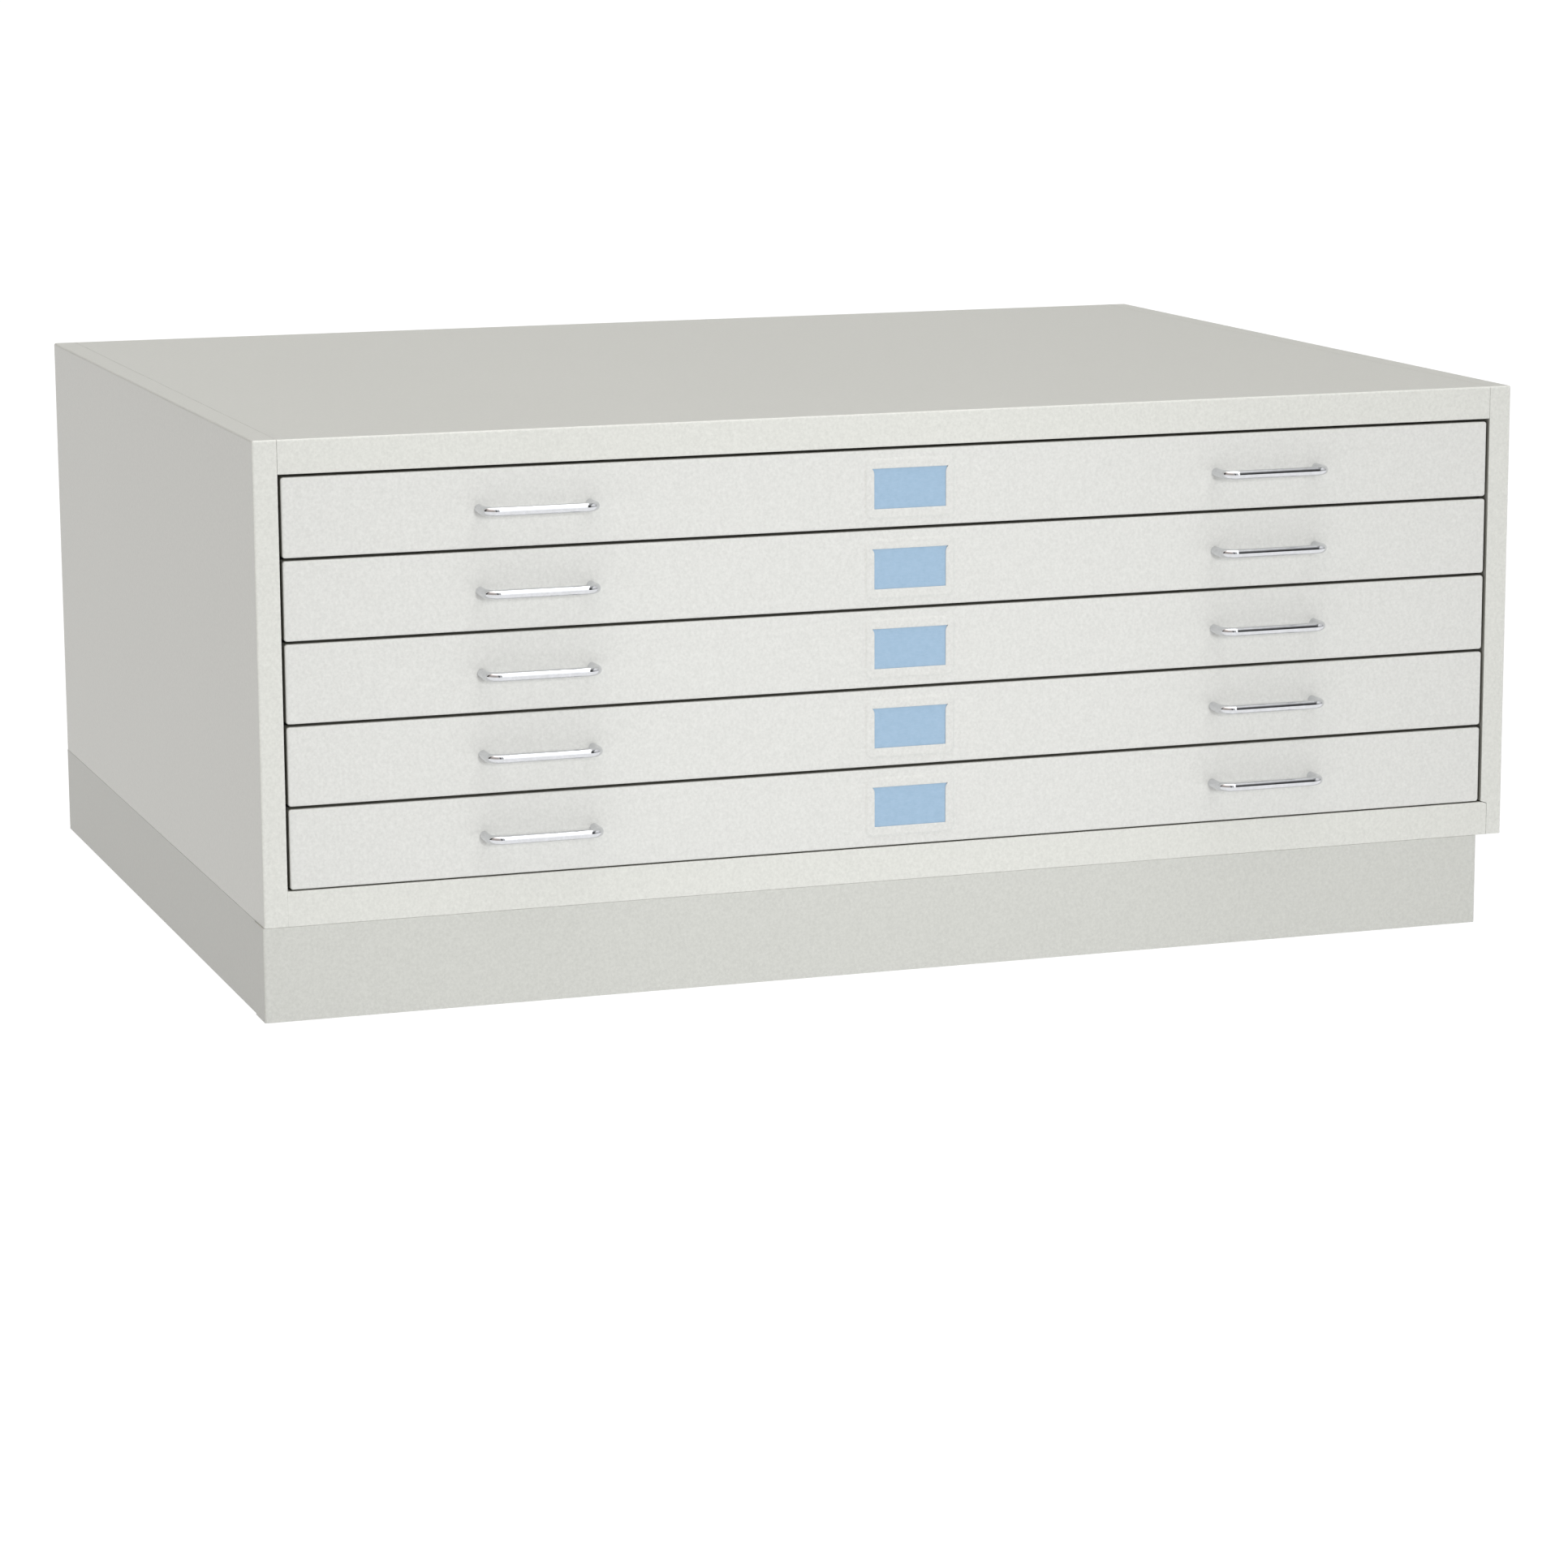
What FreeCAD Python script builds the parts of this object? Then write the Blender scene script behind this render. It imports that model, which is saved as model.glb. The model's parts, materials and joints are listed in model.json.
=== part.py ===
"""A five-drawer steel flat file for large sheets, on a closed base.

Every separate piece is written to parts/NAME.step. Lengths are millimetres.
X runs to the right, the drawers pull out along -Y, and Z points up.
The origin is on the floor, midway between the cabinet's sides and between the handles' fronts
and the cabinet's back.
"""

import FreeCAD, Part
import os

# Outside sizes.
WIDTH = 1178.0
DEPTH = 899.0
BODY_HEIGHT = 419.0
BASE_HEIGHT = 83.0

# Sheet thicknesses and bends.
BODY_SHEET = 1.0
FRONT_SHEET = 1.2
TRAY_SHEET = 0.8
RAIL_SHEET = 1.5
BEND = 2.0
OPENING_BEND = 1.4
SEAM_BEND = 0.6
FRONT_BEND = 2.0
FRONT_CORNER = 2.6
PAINT_JOINT = 0.25
BUTT_JOINT = 0.08

# The face of the cabinet: stiles at both sides, one rail under and one over the drawers.
STILE = 21.1
FOLD_BACK = 18.0
LOWEST_GAP = 32.0
BOTTOM_RAIL = 31.0
RAIL_TONGUE = 6.1
RAIL_MITRE = 2.2

# Drawers.
DRAWERS = 5
PITCH = 71.2
GAP = 2.4
SIDE_GAP = 2.8
FRONT_DEPTH = 15.0
TRAVEL = 660.0
TRAY_INSIDE_WIDTH = 1092.0
TRAY_INSIDE_DEPTH = 813.0
TRAY_FLOOR = 6.0
TRAY_TOP = 62.0
TRAY_HEM = 7.5

# Rear hood and front flap, which keep sheets flat.
HOOD_DEPTH = 150.0
HOOD_LIP = 7.0
FLAP_LENGTH = 120.0
FLAP_LIP = 6.0
FLAP_SHEET = 1.0
FLAP_CLEARANCE = 0.5
HINGE_PIN_R = 2.0
HINGE_BORE_R = 2.05
BARREL_R = 3.6
BARREL_BORE_R = 2.1
HINGE_SETBACK = 7.0
HINGE_HALF_WIDTH = 529.0
HINGE_TAB = 3.0
HINGE_GAP = 0.6

# Wire handles.
HANDLE_OFFSET = 343.5
HANDLE_SPAN = 99.0
HANDLE_REACH = 25.0
HANDLE_WIRE_R = 4.0
HANDLE_BEND = 11.0
SCREW_R = 2.45
SCREW_HOLE_R = 2.7
SCREW_HEAD_R = 4.5
SCREW_HEAD = 3.0
SCREW_DEPTH = 10.0
TAPPED_R = 2.5

# Label holder pressed in each drawer front, and its card.
HOLDER_WIDTH = 83.0
HOLDER_HEIGHT = 52.5
HOLDER_RADIUS = 6.5
HOLDER_RAISE = 1.1
HOLDER_SLOPE = 1.0
WINDOW_WIDTH = 67.2
WINDOW_HEIGHT = 35.7
WINDOW_EAR = 3.0
POCKET_MARGIN = 4.0
POCKET_BACK = 0.35
POCKET_FRONT = 0.45
CARD_SHEET = 0.5
CARD_MARGIN = 3.5

# Slides: channels on the cabinet, runners on the trays, a roller at each end.
CHANNEL_DEPTH = 21.8
CHANNEL_INSIDE = 24.0
ROLLER_R = 11.7
ROLLER_BORE_R = 4.0
STUD_R = 3.95
STUD_SHOULDER_R = 6.0
ROLLER_AXIS = 32.0
ROLLER_WIDTH = 9.0
FRONT_ROLLER_SETBACK = 39.0
REAR_ROLLER_SETBACK = 24.0
RUNNER_REACH = 15.8
RUNNER_BELOW_AXIS = 10.0
RUNNER_REAR_END = 300.0
SIDE_PLAY = 0.3
STUD_HEAD = 2.2
STOP_HEIGHT = 7.0
STOP_SHEET = 1.5
STOP_PLAY = 1.5

# Base under the cabinet.
BASE_INSET_RIGHT = 25.0
BASE_RETURN = 35.0
BASE_FLANGE = 20.0
BASE_SHEET = 1.2
BASE_LAP = 12.0
BASE_JOINT = 0.4
CROSS_RAIL_OFFSET = 250.0
CROSS_RAIL_FLANGE = 30.0
BOLT_OFFSET = 500.0
BOLT_R = 4.0
BOLT_HOLE_R = 4.5
BOLT_HEAD_R = 7.0
BOLT_HEAD = 5.3
NUT_HEIGHT = 6.5
NUT_BORE_R = 4.03

# Places worked out from the sizes above.
OVERHANG = HANDLE_REACH + HANDLE_WIRE_R
FACE = OVERHANG - (DEPTH + OVERHANG) / 2
BACK = FACE + DEPTH
SIDE = WIDTH / 2
BODY_BOTTOM = BASE_HEIGHT
TOP = BASE_HEIGHT + BODY_HEIGHT
OPENING = SIDE - STILE
FRONT_HALF = OPENING - SIDE_GAP
INNER_SIDE = SIDE - BODY_SHEET
TRAY_FRONT = FACE + FRONT_DEPTH
TRAY_INNER_FRONT = TRAY_FRONT + TRAY_SHEET
TRAY_INNER_REAR = TRAY_INNER_FRONT + TRAY_INSIDE_DEPTH
TRAY_REAR = TRAY_INNER_REAR + TRAY_SHEET
TRAY_HALF_INSIDE = TRAY_INSIDE_WIDTH / 2
TRAY_HALF = TRAY_HALF_INSIDE + TRAY_SHEET
RUNNER_FACE = TRAY_HALF + RAIL_SHEET
CHANNEL_WEB = INNER_SIDE - RAIL_SHEET
CHANNEL_EDGE = INNER_SIDE - CHANNEL_DEPTH
FRONT_ROLLER_Y = FACE + FRONT_ROLLER_SETBACK
REAR_ROLLER_Y = TRAY_REAR - REAR_ROLLER_SETBACK
HINGE_Y = TRAY_INNER_FRONT + HINGE_SETBACK
FLAP_BOTTOM = TRAY_FLOOR + TRAY_SHEET + FLAP_CLEARANCE
HINGE_UP = FLAP_BOTTOM + BARREL_R
BASE_LEFT = -SIDE - BASE_SHEET
BASE_RIGHT = SIDE - BASE_INSET_RIGHT
BASE_FRONT_END = FACE + BASE_RETURN

X = FreeCAD.Vector(1, 0, 0)
Y = FreeCAD.Vector(0, 1, 0)
Z = FreeCAD.Vector(0, 0, 1)
ORIGIN = FreeCAD.Vector(0, 0, 0)


def point(x, y, z):
    return FreeCAD.Vector(x, y, z)


def box(x_range, y_range, z_range):
    """A box between two values on each axis, in either order."""
    low = [min(pair) for pair in (x_range, y_range, z_range)]
    high = [max(pair) for pair in (x_range, y_range, z_range)]
    sizes = [b - a for a, b in zip(low, high)]
    return Part.makeBox(*sizes, point(*low))


def rod(radius, x_range, y, z):
    """A cylinder along X."""
    low, high = sorted(x_range)
    return Part.makeCylinder(radius, high - low, point(low, y, z), X)


def fuse(*shapes):
    """Join solids that touch into one, with no seams left between coplanar faces."""
    return shapes[0].multiFuse(list(shapes[1:])).removeSplitter()


def group(shapes):
    return Part.makeCompound(list(shapes))


def mirrored(shape):
    """The same piece on the other side of the cabinet."""
    return shape.mirror(ORIGIN, X)


def both_sides(shape):
    return group([shape, mirrored(shape)])


def along(edge, axis):
    """Whether an edge is a straight line along an axis."""
    ends = edge.Vertexes
    if len(ends) != 2:
        return False
    step = ends[1].Point.sub(ends[0].Point)
    return abs(abs(step.dot(axis)) - edge.Length) < 1e-6


def at(edge, axis, value):
    """Whether a whole edge lies at one value on an axis."""
    return all(abs(vertex.Point.dot(axis) - value) < 1e-4 for vertex in edge.Vertexes)


def rounded(shape, radius, chosen):
    """Round the edges that the function chosen picks."""
    return shape.makeFillet(radius, [edge for edge in shape.Edges if chosen(edge)])


def polygon_prism(corners, depth_from, depth_to):
    """A prism along Y from corners given as (x, z)."""
    points = [point(x, depth_from, z) for x, z in corners]
    wire = Part.makePolygon(points + points[:1])
    return Part.Face(wire).extrude(point(0, depth_to - depth_from, 0))


def drawer_level(index):
    """The middle of the gap under a drawer, counted from the lowest drawer, 0."""
    return BODY_BOTTOM + LOWEST_GAP + index * PITCH


# ---------------------------------------------------------------- cabinet body

def rail_notch(gap):
    """The block at a stile's foot that the bottom rail's right end takes, less a gap."""
    inner = OPENING - 1
    outer = OPENING + RAIL_TONGUE - gap
    top = BODY_BOTTOM + LOWEST_GAP
    corners = [
        (inner, BODY_BOTTOM - 1),
        (outer, BODY_BOTTOM - 1),
        (outer, top - RAIL_MITRE - 2 * gap),
        (OPENING, top - gap),
        (inner, top - gap),
    ]
    return polygon_prism(corners, FACE - 1, FACE + FOLD_BACK + gap)


def side_panel_bend(edge):
    """The side panel's outer folds: to the stile, to the rear flange and to the top flange."""
    to_stile_or_rear = at(edge, X, SIDE) and (at(edge, Y, FACE) or at(edge, Y, BACK))
    to_top = at(edge, Z, TOP) and (at(edge, X, SIDE) or at(edge, Y, FACE) or at(edge, Y, BACK))
    return to_stile_or_rear or to_top


def folded_side():
    """The right side sheet, folded round to make the front stile, with flanges above, below and behind."""
    shell = box((OPENING, SIDE), (FACE, BACK), (BODY_BOTTOM, TOP))
    shell = rounded(shell, BEND, side_panel_bend)
    shell = rounded(shell, SEAM_BEND, lambda e: at(e, Z, BODY_BOTTOM) and at(e, X, SIDE))
    hollow = box(
        (OPENING - 1, INNER_SIDE),
        (FACE + BODY_SHEET, BACK - BODY_SHEET),
        (BODY_BOTTOM + BODY_SHEET, TOP - BODY_SHEET))
    fold = box(
        (OPENING, OPENING + BODY_SHEET),
        (FACE + BODY_SHEET, FACE + FOLD_BACK),
        (BODY_BOTTOM + 2 * BODY_SHEET + PAINT_JOINT, TOP - BODY_SHEET))
    return fuse(shell.cut(hollow), fold)


def right_side_panel():
    """The right side, with a notch in the stile's foot for the bottom rail's tongue."""
    return folded_side().cut(rail_notch(0))


def left_side_panel():
    """The left side, whose stile runs straight down past the bottom rail's end."""
    return mirrored(folded_side())


def top_panel():
    """The top sheet, folded down in front as the rail over the drawers, and down behind."""
    half = OPENING - PAINT_JOINT
    lower = drawer_level(DRAWERS) + GAP / 2
    sheet = box((-half, half), (FACE, BACK), (TOP - BODY_SHEET, TOP))
    rail = box((-half, half), (FACE, FACE + BODY_SHEET), (lower, TOP))
    lip = box((-half, half), (FACE, FACE + FOLD_BACK), (lower, lower + BODY_SHEET))
    rear = box((-half, half), (BACK - BODY_SHEET, BACK), (TOP - STILE, TOP))
    panel = fuse(sheet, rail, lip, rear)
    panel = rounded(panel, BEND, lambda e: at(e, Z, TOP) and (at(e, Y, FACE) or at(e, Y, BACK)))
    return rounded(panel, OPENING_BEND, lambda e: at(e, Z, lower) and at(e, Y, FACE))


def back_panel():
    """The rear sheet, inside the side panels' rear flanges."""
    half = INNER_SIDE - PAINT_JOINT
    rear = BACK - BODY_SHEET
    return box((-half, half), (rear - BODY_SHEET, rear), (BODY_BOTTOM + BODY_SHEET, TOP - BODY_SHEET))


def bottom_panel():
    """The floor sheet, on the side panels' lower flanges, with four bolt holes."""
    half = INNER_SIDE - PAINT_JOINT
    low = BODY_BOTTOM + BODY_SHEET
    front = FACE + BODY_SHEET + PAINT_JOINT
    rear = BACK - 2 * BODY_SHEET
    sheet = box((-half, half), (front, rear), (low, low + BODY_SHEET))
    return sheet.cut(group(bolt_holes(low - 1, low + BODY_SHEET + 1)))


def bottom_rail():
    """The rail under the drawers: a folded channel, let into the right stile and butted on the left one."""
    top = BODY_BOTTOM + BOTTOM_RAIL
    inside = OPENING - 1
    depth = FACE + FOLD_BACK
    middle = box((BUTT_JOINT - OPENING, inside), (FACE, depth), (BODY_BOTTOM, top))
    tongue = rail_notch(PAINT_JOINT).common(box((inside, SIDE), (FACE, depth), (BODY_BOTTOM, top)))
    block = fuse(middle, tongue)
    hollow = box(
        (-SIDE, SIDE),
        (FACE + BODY_SHEET, depth + 1),
        (BODY_BOTTOM + BODY_SHEET, top - BODY_SHEET))
    rail = block.cut(hollow)
    rail = rounded(rail, OPENING_BEND, lambda e: at(e, Z, top) and at(e, Y, FACE))
    return rounded(rail, SEAM_BEND, lambda e: at(e, Z, BODY_BOTTOM) and at(e, Y, FACE))


def right_channel(level):
    """One slide channel, open towards the drawer, with a stop tab near each end."""
    axis = level + ROLLER_AXIS
    half = CHANNEL_INSIDE / 2
    front = FACE + FOLD_BACK + 4
    rear = BACK - 24
    outside = box(
        (CHANNEL_EDGE, INNER_SIDE),
        (front, rear),
        (axis - half - RAIL_SHEET, axis + half + RAIL_SHEET))
    inside = box((CHANNEL_EDGE - 1, CHANNEL_WEB), (front - 1, rear + 1), (axis - half, axis + half))
    reach = ROLLER_R + STOP_PLAY
    stops = []
    for inner_face, outward in ((REAR_ROLLER_Y - TRAVEL - reach, -1), (REAR_ROLLER_Y + reach, 1)):
        stops.append(box(
            (CHANNEL_EDGE + 2, CHANNEL_WEB - 2),
            (inner_face, inner_face + outward * STOP_SHEET),
            (axis - half, axis - half + STOP_HEIGHT)))
    return fuse(outside.cut(inside), *stops)


def drawer_channels(on_left):
    channels = [right_channel(drawer_level(index)) for index in range(DRAWERS)]
    if on_left:
        channels = [mirrored(channel) for channel in channels]
    return group(channels)


def stud(shoulder, journal, head, y, z):
    """A shouldered stud along X: X ranges of its shoulder, its journal and its head."""
    return fuse(
        rod(STUD_SHOULDER_R, shoulder, y, z),
        rod(STUD_R, journal, y, z),
        rod(STUD_SHOULDER_R, head, y, z))


def front_roller_range():
    inner = RUNNER_FACE + SIDE_PLAY + STUD_HEAD + SIDE_PLAY
    return inner, inner + ROLLER_WIDTH


def rear_roller_range():
    outer = CHANNEL_WEB - STUD_HEAD - 2 * SIDE_PLAY - 1.5
    return outer - ROLLER_WIDTH, outer


def roller_pair(x_range, y, level):
    """A roller at each side, on one axis."""
    height = level + ROLLER_AXIS
    bore = rod(ROLLER_BORE_R, (x_range[0] - 1, x_range[1] + 1), y, height)
    return both_sides(rod(ROLLER_R, x_range, y, height).cut(bore))


def front_rollers(level):
    return roller_pair(front_roller_range(), FRONT_ROLLER_Y, level)


def rear_rollers(level):
    return roller_pair(rear_roller_range(), REAR_ROLLER_Y, level)


def front_roller_studs():
    """Studs from the channels' webs, each with a head towards the tray."""
    inner, outer = front_roller_range()
    shoulder = (outer + SIDE_PLAY, CHANNEL_WEB)
    journal = (inner - SIDE_PLAY, outer + SIDE_PLAY)
    head = (inner - SIDE_PLAY - STUD_HEAD, inner - SIDE_PLAY)
    studs = []
    for index in range(DRAWERS):
        one = stud(shoulder, journal, head, FRONT_ROLLER_Y, drawer_level(index) + ROLLER_AXIS)
        studs += [one, mirrored(one)]
    return group(studs)


# ------------------------------------------------------------------------ base

def base_front():
    """The base's front, wrapped a short way round both corners, with flanges folded in."""
    shell = box((BASE_LEFT, BASE_RIGHT), (FACE, BASE_FRONT_END), (0, BASE_HEIGHT))
    shell = rounded(shell, BEND, lambda e: along(e, Z) and at(e, Y, FACE))
    shell = rounded(shell, SEAM_BEND, lambda e: at(e, Z, BASE_HEIGHT) and not at(e, Y, BASE_FRONT_END))
    hollow = box(
        (BASE_LEFT + BASE_SHEET, BASE_RIGHT - BASE_SHEET),
        (FACE + BASE_SHEET, BASE_FRONT_END + 1),
        (BASE_SHEET, BASE_HEIGHT - BASE_SHEET))
    return shell.cut(hollow)


def base_side(outer, inward):
    """A side of the base: a channel one sheet behind the front's return, lapped inside it."""
    face = outer + inward * BASE_SHEET
    inner = face + inward * BASE_SHEET
    start = BASE_FRONT_END + BASE_JOINT
    skin = box((face, inner), (start, BACK), (0, BASE_HEIGHT))
    tongue = box(
        (face, inner),
        (start - BASE_LAP, start),
        (2 * BASE_SHEET, BASE_HEIGHT - 2 * BASE_SHEET))
    flange_edge = face + inward * BASE_FLANGE
    lower = box((face, flange_edge), (start, BACK), (0, BASE_SHEET))
    upper = lower.translated(point(0, 0, BASE_HEIGHT - BASE_SHEET))
    return fuse(skin, tongue, lower, upper)


def base_back():
    """The base's rear channel, between the two sides."""
    left = BASE_LEFT + 2 * BASE_SHEET
    right = BASE_RIGHT - 2 * BASE_SHEET
    skin = box((left, right), (BACK - BASE_SHEET, BACK), (BASE_SHEET, BASE_HEIGHT - BASE_SHEET))
    inset = BASE_FLANGE + PAINT_JOINT
    lower = box(
        (left + inset, right - inset),
        (BACK - BASE_FLANGE, BACK),
        (0, BASE_SHEET))
    upper = lower.translated(point(0, 0, BASE_HEIGHT - BASE_SHEET))
    return fuse(skin, lower, upper)


def base_cross_rails():
    """Two channels across the base that carry the cabinet's floor."""
    left = BASE_LEFT + 2 * BASE_SHEET
    right = BASE_RIGHT - 2 * BASE_SHEET
    low = BASE_SHEET
    high = BASE_HEIGHT - BASE_SHEET
    rails = []
    for side in (-1, 1):
        near = side * (CROSS_RAIL_OFFSET - CROSS_RAIL_FLANGE / 2)
        far = side * (CROSS_RAIL_OFFSET + CROSS_RAIL_FLANGE / 2)
        block = box((left, right), (near, far), (low, high))
        hollow = box(
            (left - 1, right + 1),
            (near + side * RAIL_SHEET, far + side),
            (low + RAIL_SHEET, high - RAIL_SHEET))
        rails.append(block.cut(hollow))
    return group(rails).cut(group(bolt_holes(BASE_HEIGHT / 2, BASE_HEIGHT + 1)))


def bolt_places():
    return [(x * BOLT_OFFSET, y * CROSS_RAIL_OFFSET) for x in (-1, 1) for y in (-1, 1)]


def bolt_holes(low, high):
    return [Part.makeCylinder(BOLT_HOLE_R, high - low, point(x, y, low)) for x, y in bolt_places()]


def hexagon(radius, height, x, y, z):
    """A hexagonal prism for a bolt's head or a nut, measured to its corners."""
    corners = [point(radius, 0, 0)]
    for step in range(1, 6):
        turn = FreeCAD.Rotation(Z, 60 * step)
        corners.append(turn.multVec(corners[0]))
    wire = Part.makePolygon(corners + corners[:1])
    return Part.Face(wire).extrude(point(0, 0, height)).translated(point(x, y, z))


def base_bolts():
    """Four bolts through the cabinet's floor and the cross rails, with their nuts."""
    seat = BODY_BOTTOM + 2 * BODY_SHEET
    nut_bottom = BASE_HEIGHT - BASE_SHEET - RAIL_SHEET - NUT_HEIGHT
    shank_end = nut_bottom - 2
    pieces = []
    for x, y in bolt_places():
        head = hexagon(BOLT_HEAD_R, BOLT_HEAD, x, y, seat)
        shank = Part.makeCylinder(BOLT_R, seat - shank_end, point(x, y, shank_end))
        pieces.append(fuse(head, shank))
        bore = Part.makeCylinder(NUT_BORE_R, NUT_HEIGHT + 2, point(x, y, nut_bottom - 1))
        pieces.append(hexagon(BOLT_HEAD_R, NUT_HEIGHT, x, y, nut_bottom).cut(bore))
    return group(pieces)


# --------------------------------------------------------------------- drawers

def front_middle(level):
    return level + PITCH / 2


def handle_post_places(level):
    """Where the handles' posts meet the drawer front, as (x, z)."""
    middle = front_middle(level)
    half = HANDLE_SPAN / 2
    return [(side * HANDLE_OFFSET + end * half, middle) for side in (-1, 1) for end in (-1, 1)]


def folded_front(level):
    """A drawer front as a shallow pan: rounded edges and corners, open behind."""
    low = level + GAP / 2
    high = level + PITCH - GAP / 2
    pan = box((-FRONT_HALF, FRONT_HALF), (FACE, TRAY_FRONT), (low, high))
    pan = rounded(pan, FRONT_CORNER, lambda e: along(e, Y))
    pan = rounded(pan, FRONT_BEND, lambda e: at(e, Y, FACE))
    half = FRONT_HALF - FRONT_SHEET
    hollow = box((-half, half), (FACE + FRONT_SHEET, TRAY_FRONT + 1), (low + FRONT_SHEET, high - FRONT_SHEET))
    hollow = rounded(hollow, FRONT_CORNER - FRONT_SHEET, lambda e: along(e, Y))
    return pan.cut(hollow)


def label_holder(level):
    """The raised border that is pressed in the drawer front, with sloping sides."""
    middle = front_middle(level)
    half_width = HOLDER_WIDTH / 2
    half_height = HOLDER_HEIGHT / 2
    root = FACE + FRONT_SHEET / 2
    block = box(
        (-half_width, half_width),
        (FACE - HOLDER_RAISE, root),
        (middle - half_height, middle + half_height))
    block = rounded(block, HOLDER_RADIUS, lambda e: along(e, Y))
    return rounded(block, HOLDER_SLOPE, lambda e: at(e, Y, FACE - HOLDER_RAISE))


def label_window(level):
    """The holder's window: straight sides that flare to an ear at each top corner."""
    middle = front_middle(level)
    half = WINDOW_WIDTH / 2
    low = middle - WINDOW_HEIGHT / 2
    high = middle + WINDOW_HEIGHT / 2
    corners = [
        (-half, low),
        (half, low),
        (half, high - WINDOW_EAR),
        (half + WINDOW_EAR * 0.3, high - WINDOW_EAR * 0.4),
        (half + WINDOW_EAR, high),
        (-half - WINDOW_EAR, high),
        (-half - WINDOW_EAR * 0.3, high - WINDOW_EAR * 0.4),
        (-half, high - WINDOW_EAR),
    ]
    return polygon_prism(corners, FACE - HOLDER_RAISE - 1, FACE + POCKET_BACK)


def label_rectangle(level, margin, front, back):
    """A flat block as large as the window plus a margin all round."""
    middle = front_middle(level)
    half_width = WINDOW_WIDTH / 2 + margin
    half_height = WINDOW_HEIGHT / 2 + margin
    return box((-half_width, half_width), (front, back), (middle - half_height, middle + half_height))


def drawer_front(level):
    """The drawer's face: folded pan, pressed label holder with its card pocket, screw holes."""
    face = fuse(folded_front(level), label_holder(level))
    pocket = label_rectangle(level, POCKET_MARGIN, FACE - POCKET_FRONT, FACE + POCKET_BACK)
    face = face.cut(pocket).cut(label_window(level))
    for x, z in handle_post_places(level):
        face = face.cut(Part.makeCylinder(SCREW_HOLE_R, FRONT_SHEET + 2, point(x, FACE - 1, z), Y))
    return face


def label_card(level):
    """The card in the holder's pocket, a little larger than the window."""
    back = FACE + POCKET_BACK - 0.1
    return label_rectangle(level, CARD_MARGIN, back - CARD_SHEET, back)


def wire_handle(centre_x, height):
    """A bent wire pull: two posts, two bends and a straight bar, tapped for screws."""
    left = centre_x - HANDLE_SPAN / 2
    right = centre_x + HANDLE_SPAN / 2
    bar = FACE - HANDLE_REACH
    bend = HANDLE_BEND
    lean = bend * (1 - 0.5 ** 0.5)
    path = Part.Wire([
        Part.makeLine(point(left, FACE, height), point(left, bar + bend, height)),
        Part.Arc(
            point(left, bar + bend, height),
            point(left + lean, bar + lean, height),
            point(left + bend, bar, height)).toShape(),
        Part.makeLine(point(left + bend, bar, height), point(right - bend, bar, height)),
        Part.Arc(
            point(right - bend, bar, height),
            point(right - lean, bar + lean, height),
            point(right, bar + bend, height)).toShape(),
        Part.makeLine(point(right, bar + bend, height), point(right, FACE, height)),
    ])
    section = Part.Wire(Part.makeCircle(HANDLE_WIRE_R, point(left, FACE, height), Y))
    wire = path.makePipeShell([section], True, False)
    for x in (left, right):
        depth = SCREW_DEPTH + 2
        wire = wire.cut(Part.makeCylinder(TAPPED_R, depth, point(x, FACE - depth + 1, height), Y))
    return wire


def handles(level):
    middle = front_middle(level)
    return group(wire_handle(side * HANDLE_OFFSET, middle) for side in (-1, 1))


def right_runner(level):
    """The angle on a tray's side whose flange rides on the front roller."""
    axis = level + ROLLER_AXIS
    top = axis + CHANNEL_INSIDE / 2 + RAIL_SHEET
    front = FACE + FOLD_BACK + 2
    web = box((TRAY_HALF, RUNNER_FACE), (front, TRAY_INNER_REAR), (axis - RUNNER_BELOW_AXIS, top))
    flange = box(
        (TRAY_HALF, TRAY_HALF + RUNNER_REACH),
        (front, RUNNER_REAR_END),
        (top - RAIL_SHEET, top))
    return fuse(web, flange)


def hinge_tab_ranges():
    """X ranges of the three tabs that hold the flap's hinge pin."""
    outer = HINGE_HALF_WIDTH
    half = HINGE_TAB / 2
    return [(-outer, -outer + HINGE_TAB), (-half, half), (outer - HINGE_TAB, outer)]


def tray(level):
    """The tray with its hems, its hinge tabs and the runner welded to each side."""
    floor = level + TRAY_FLOOR
    top = level + TRAY_TOP
    outside = box((-TRAY_HALF, TRAY_HALF), (TRAY_FRONT, TRAY_REAR), (floor, top))
    inside = box(
        (-TRAY_HALF_INSIDE, TRAY_HALF_INSIDE),
        (TRAY_INNER_FRONT, TRAY_INNER_REAR),
        (floor + TRAY_SHEET, top + 1))
    pan = outside.cut(inside)
    hem = box((TRAY_HALF, TRAY_HALF + TRAY_HEM), (TRAY_FRONT, TRAY_REAR), (top - TRAY_SHEET, top))
    runner = right_runner(level)
    tabs = []
    for x_range in hinge_tab_ranges():
        tabs.append(box(
            x_range,
            (TRAY_INNER_FRONT, HINGE_Y + BARREL_R),
            (floor + TRAY_SHEET, level + HINGE_UP + BARREL_R)))
    whole = fuse(pan, hem, mirrored(hem), runner, mirrored(runner), *tabs)
    bore = rod(HINGE_BORE_R, (-HINGE_HALF_WIDTH - 1, HINGE_HALF_WIDTH + 1), HINGE_Y, level + HINGE_UP)
    return whole.cut(bore)


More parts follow.
